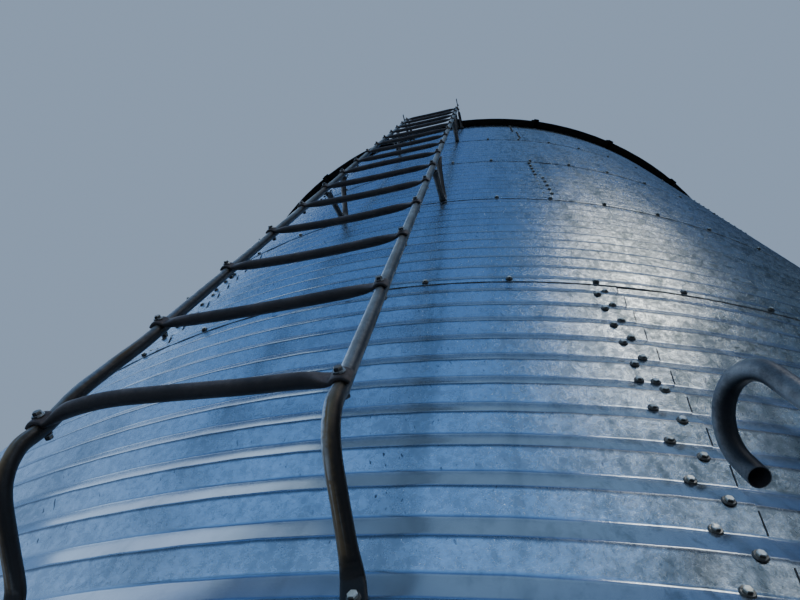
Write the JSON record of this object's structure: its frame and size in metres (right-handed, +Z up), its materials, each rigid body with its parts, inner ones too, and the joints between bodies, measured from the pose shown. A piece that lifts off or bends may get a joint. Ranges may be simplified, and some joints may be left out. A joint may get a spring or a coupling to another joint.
{
  "type": "corrugated steel grain silo, flat bottomed",
  "caption": "Round flat bottomed grain silo of corrugated galvanised steel rings, with a ribbed conical roof, a fill cap, a wall ladder of bent tube and a small bent vent pipe",
  "frame": {"origin": "centre of the round base, on the ground", "axes": "+Z up along the bin's axis, -Y the front, which faces the viewer, +X to the right seen from the front; the ladder is at the front, 8 degrees to the left"},
  "size_m": [5.6448, 5.8484, 9.4552],
  "materials": {
    "galvanised_wall": "spangled galvanised sheet, weathered, half bright",
    "galvanised_roof": "galvanised sheet, weathered, half bright",
    "floor_steel": "dull galvanised plate",
    "ladder_tube": "galvanised tube with brown weather stains",
    "rung_tube": "weathered dark tube with rust",
    "vent_steel": "dull galvanised pipe"
  },
  "bodies": {
    "root": {"wall_ring_1_right": "galvanised_wall", "wall_ring_1_left": "galvanised_wall", "wall_ring_2_right": "galvanised_wall", "wall_ring_2_left": "galvanised_wall", "wall_ring_3_right": "galvanised_wall", "wall_ring_3_left": "galvanised_wall", "wall_ring_4_right": "galvanised_wall", "wall_ring_4_left": "galvanised_wall", "wall_ring_5_right": "galvanised_wall", "wall_ring_5_left": "galvanised_wall", "wall_ring_6_right": "galvanised_wall", "wall_ring_6_left": "galvanised_wall", "wall_ring_7_right": "galvanised_wall", "wall_ring_7_left": "galvanised_wall", "floor_plate": "floor_steel", "roof_sector_1": "galvanised_roof", "roof_sector_2": "galvanised_roof", "roof_sector_3": "galvanised_roof", "roof_sector_4": "galvanised_roof", "roof_sector_5": "galvanised_roof", "roof_sector_6": "galvanised_roof", "peak_collar": "galvanised_roof", "fill_cap": "galvanised_roof", "ladder_rail_left": "ladder_tube", "lower_brace_left": "ladder_tube", "upper_brace_left": "ladder_tube", "top_strut_inner_left": "ladder_tube", "top_strut_outer_left": "ladder_tube", "ladder_rail_right": "ladder_tube", "lower_brace_right": "ladder_tube", "upper_brace_right": "ladder_tube", "top_strut_inner_right": "ladder_tube", "top_strut_outer_right": "ladder_tube", "ladder_rung_01": "rung_tube", "ladder_rung_02": "rung_tube", "ladder_rung_03": "rung_tube", "ladder_rung_04": "rung_tube", "ladder_rung_05": "rung_tube", "ladder_rung_06": "rung_tube", "ladder_rung_07": "rung_tube", "ladder_rung_08": "rung_tube", "ladder_rung_09": "rung_tube", "ladder_rung_10": "rung_tube", "ladder_rung_11": "rung_tube", "ladder_rung_12": "rung_tube", "ladder_rung_13": "rung_tube", "ladder_rung_14": "rung_tube", "ladder_rung_15": "rung_tube", "vent_pipe": "vent_steel", "vent_bracket_1": "vent_steel", "vent_bracket_2": "vent_steel"}
  },
  "joints": []
}
